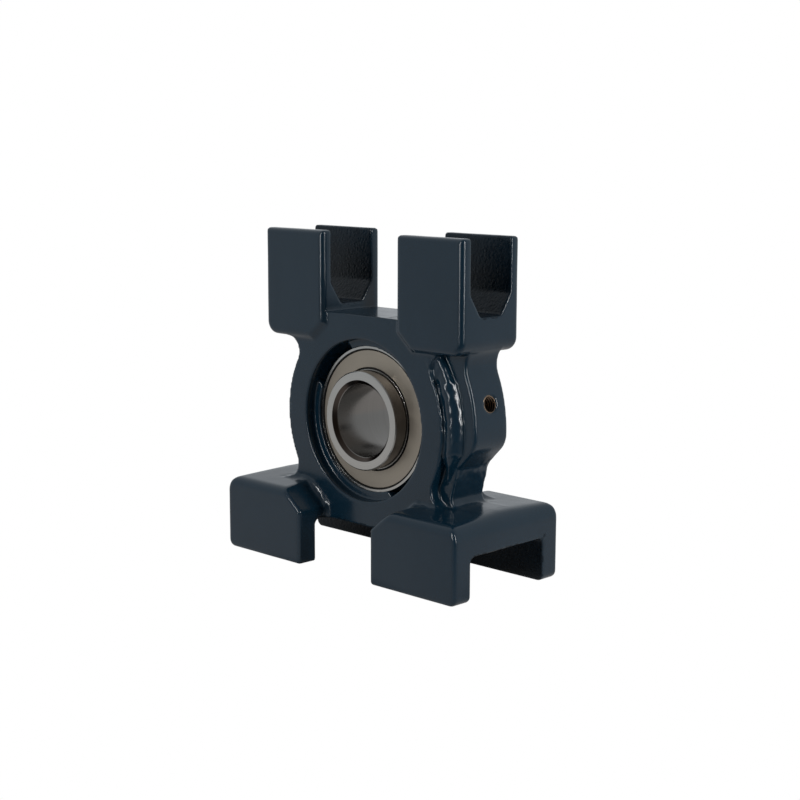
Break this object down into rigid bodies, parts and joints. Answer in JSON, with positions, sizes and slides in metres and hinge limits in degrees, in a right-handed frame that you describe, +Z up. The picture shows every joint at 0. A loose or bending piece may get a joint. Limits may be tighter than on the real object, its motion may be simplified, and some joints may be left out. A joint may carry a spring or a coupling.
{
  "type": "take up bearing unit",
  "caption": "Cast take up housing with hollow guide arms above and below, a grease boss on one side, and a self-aligning insert ball bearing.",
  "frame": {"origin": "centre of the bearing, where the shaft axis meets the middle plane of the housing", "axes": "+Y along the shaft towards the rear (set screw) side, +Z up towards the upper guide arms, +X towards the grease boss"},
  "size_m": [0.11, 0.051, 0.1139],
  "materials": {
    "cast_paint": "gloss",
    "ring_steel": "ground",
    "ball_steel": "polished",
    "cage_steel": "satin",
    "shield_steel": "satin",
    "seal_rubber": "matte",
    "screw_steel": "satin"
  },
  "bodies": {
    "housing": {"housing": "cast_paint"},
    "outer_ring": {"outer_ring": "ring_steel", "front_shield": "shield_steel", "rear_shield": "shield_steel", "front_seal": "seal_rubber", "rear_seal": "seal_rubber"},
    "inner_ring": {"inner_ring": "ring_steel", "set_screw_1": "screw_steel", "set_screw_2": "screw_steel"},
    "cage": {"cage_front_half": "cage_steel", "cage_rear_half": "cage_steel", "cage_rivets": "cage_steel"},
    "ball_1": {"ball_1": "ball_steel"},
    "ball_2": {"ball_2": "ball_steel"},
    "ball_3": {"ball_3": "ball_steel"},
    "ball_4": {"ball_4": "ball_steel"},
    "ball_5": {"ball_5": "ball_steel"},
    "ball_6": {"ball_6": "ball_steel"},
    "ball_7": {"ball_7": "ball_steel"},
    "ball_8": {"ball_8": "ball_steel"},
    "ball_9": {"ball_9": "ball_steel"}
  },
  "joints": [
    {"name": "insert_swivel", "type": "hinge", "parent": "housing", "child": "outer_ring", "pos_m": [0, 0, 0], "axis": [1, 0, 0], "range_deg": [-2, 2]},
    {"name": "inner_ring_spin", "type": "hinge", "parent": "outer_ring", "child": "inner_ring", "pos_m": [0, 0, 0], "axis": [0, 1, 0], "continuous": true},
    {"name": "cage_spin", "type": "hinge", "parent": "outer_ring", "child": "cage", "pos_m": [0, 0, 0], "axis": [0, 1, 0], "continuous": true},
    {"name": "ball_1_spin", "type": "hinge", "parent": "cage", "child": "ball_1", "pos_m": [0, 0, 0.01951], "axis": [0, 1, 0], "continuous": true},
    {"name": "ball_2_spin", "type": "hinge", "parent": "cage", "child": "ball_2", "pos_m": [-0.01254, 0, 0.01495], "axis": [0, 1, 0], "continuous": true},
    {"name": "ball_3_spin", "type": "hinge", "parent": "cage", "child": "ball_3", "pos_m": [-0.01921, 0, 0.00339], "axis": [0, 1, 0], "continuous": true},
    {"name": "ball_4_spin", "type": "hinge", "parent": "cage", "child": "ball_4", "pos_m": [-0.0169, 0, -0.00976], "axis": [0, 1, 0], "continuous": true},
    {"name": "ball_5_spin", "type": "hinge", "parent": "cage", "child": "ball_5", "pos_m": [-0.00667, 0, -0.01833], "axis": [0, 1, 0], "continuous": true},
    {"name": "ball_6_spin", "type": "hinge", "parent": "cage", "child": "ball_6", "pos_m": [0.00667, 0, -0.01833], "axis": [0, 1, 0], "continuous": true},
    {"name": "ball_7_spin", "type": "hinge", "parent": "cage", "child": "ball_7", "pos_m": [0.0169, 0, -0.00976], "axis": [0, 1, 0], "continuous": true},
    {"name": "ball_8_spin", "type": "hinge", "parent": "cage", "child": "ball_8", "pos_m": [0.01921, 0, 0.00339], "axis": [0, 1, 0], "continuous": true},
    {"name": "ball_9_spin", "type": "hinge", "parent": "cage", "child": "ball_9", "pos_m": [0.01254, 0, 0.01495], "axis": [0, 1, 0], "continuous": true}
  ],
  "couplings": [
    {"joint": "cage_spin", "follows": "inner_ring_spin", "ratio": 0.39829},
    {"joint": "ball_1_spin", "follows": "inner_ring_spin", "ratio": -2.3562},
    {"joint": "ball_2_spin", "follows": "inner_ring_spin", "ratio": -2.3562},
    {"joint": "ball_3_spin", "follows": "inner_ring_spin", "ratio": -2.3562},
    {"joint": "ball_4_spin", "follows": "inner_ring_spin", "ratio": -2.3562},
    {"joint": "ball_5_spin", "follows": "inner_ring_spin", "ratio": -2.3562},
    {"joint": "ball_6_spin", "follows": "inner_ring_spin", "ratio": -2.3562},
    {"joint": "ball_7_spin", "follows": "inner_ring_spin", "ratio": -2.3562},
    {"joint": "ball_8_spin", "follows": "inner_ring_spin", "ratio": -2.3562},
    {"joint": "ball_9_spin", "follows": "inner_ring_spin", "ratio": -2.3562}
  ]
}
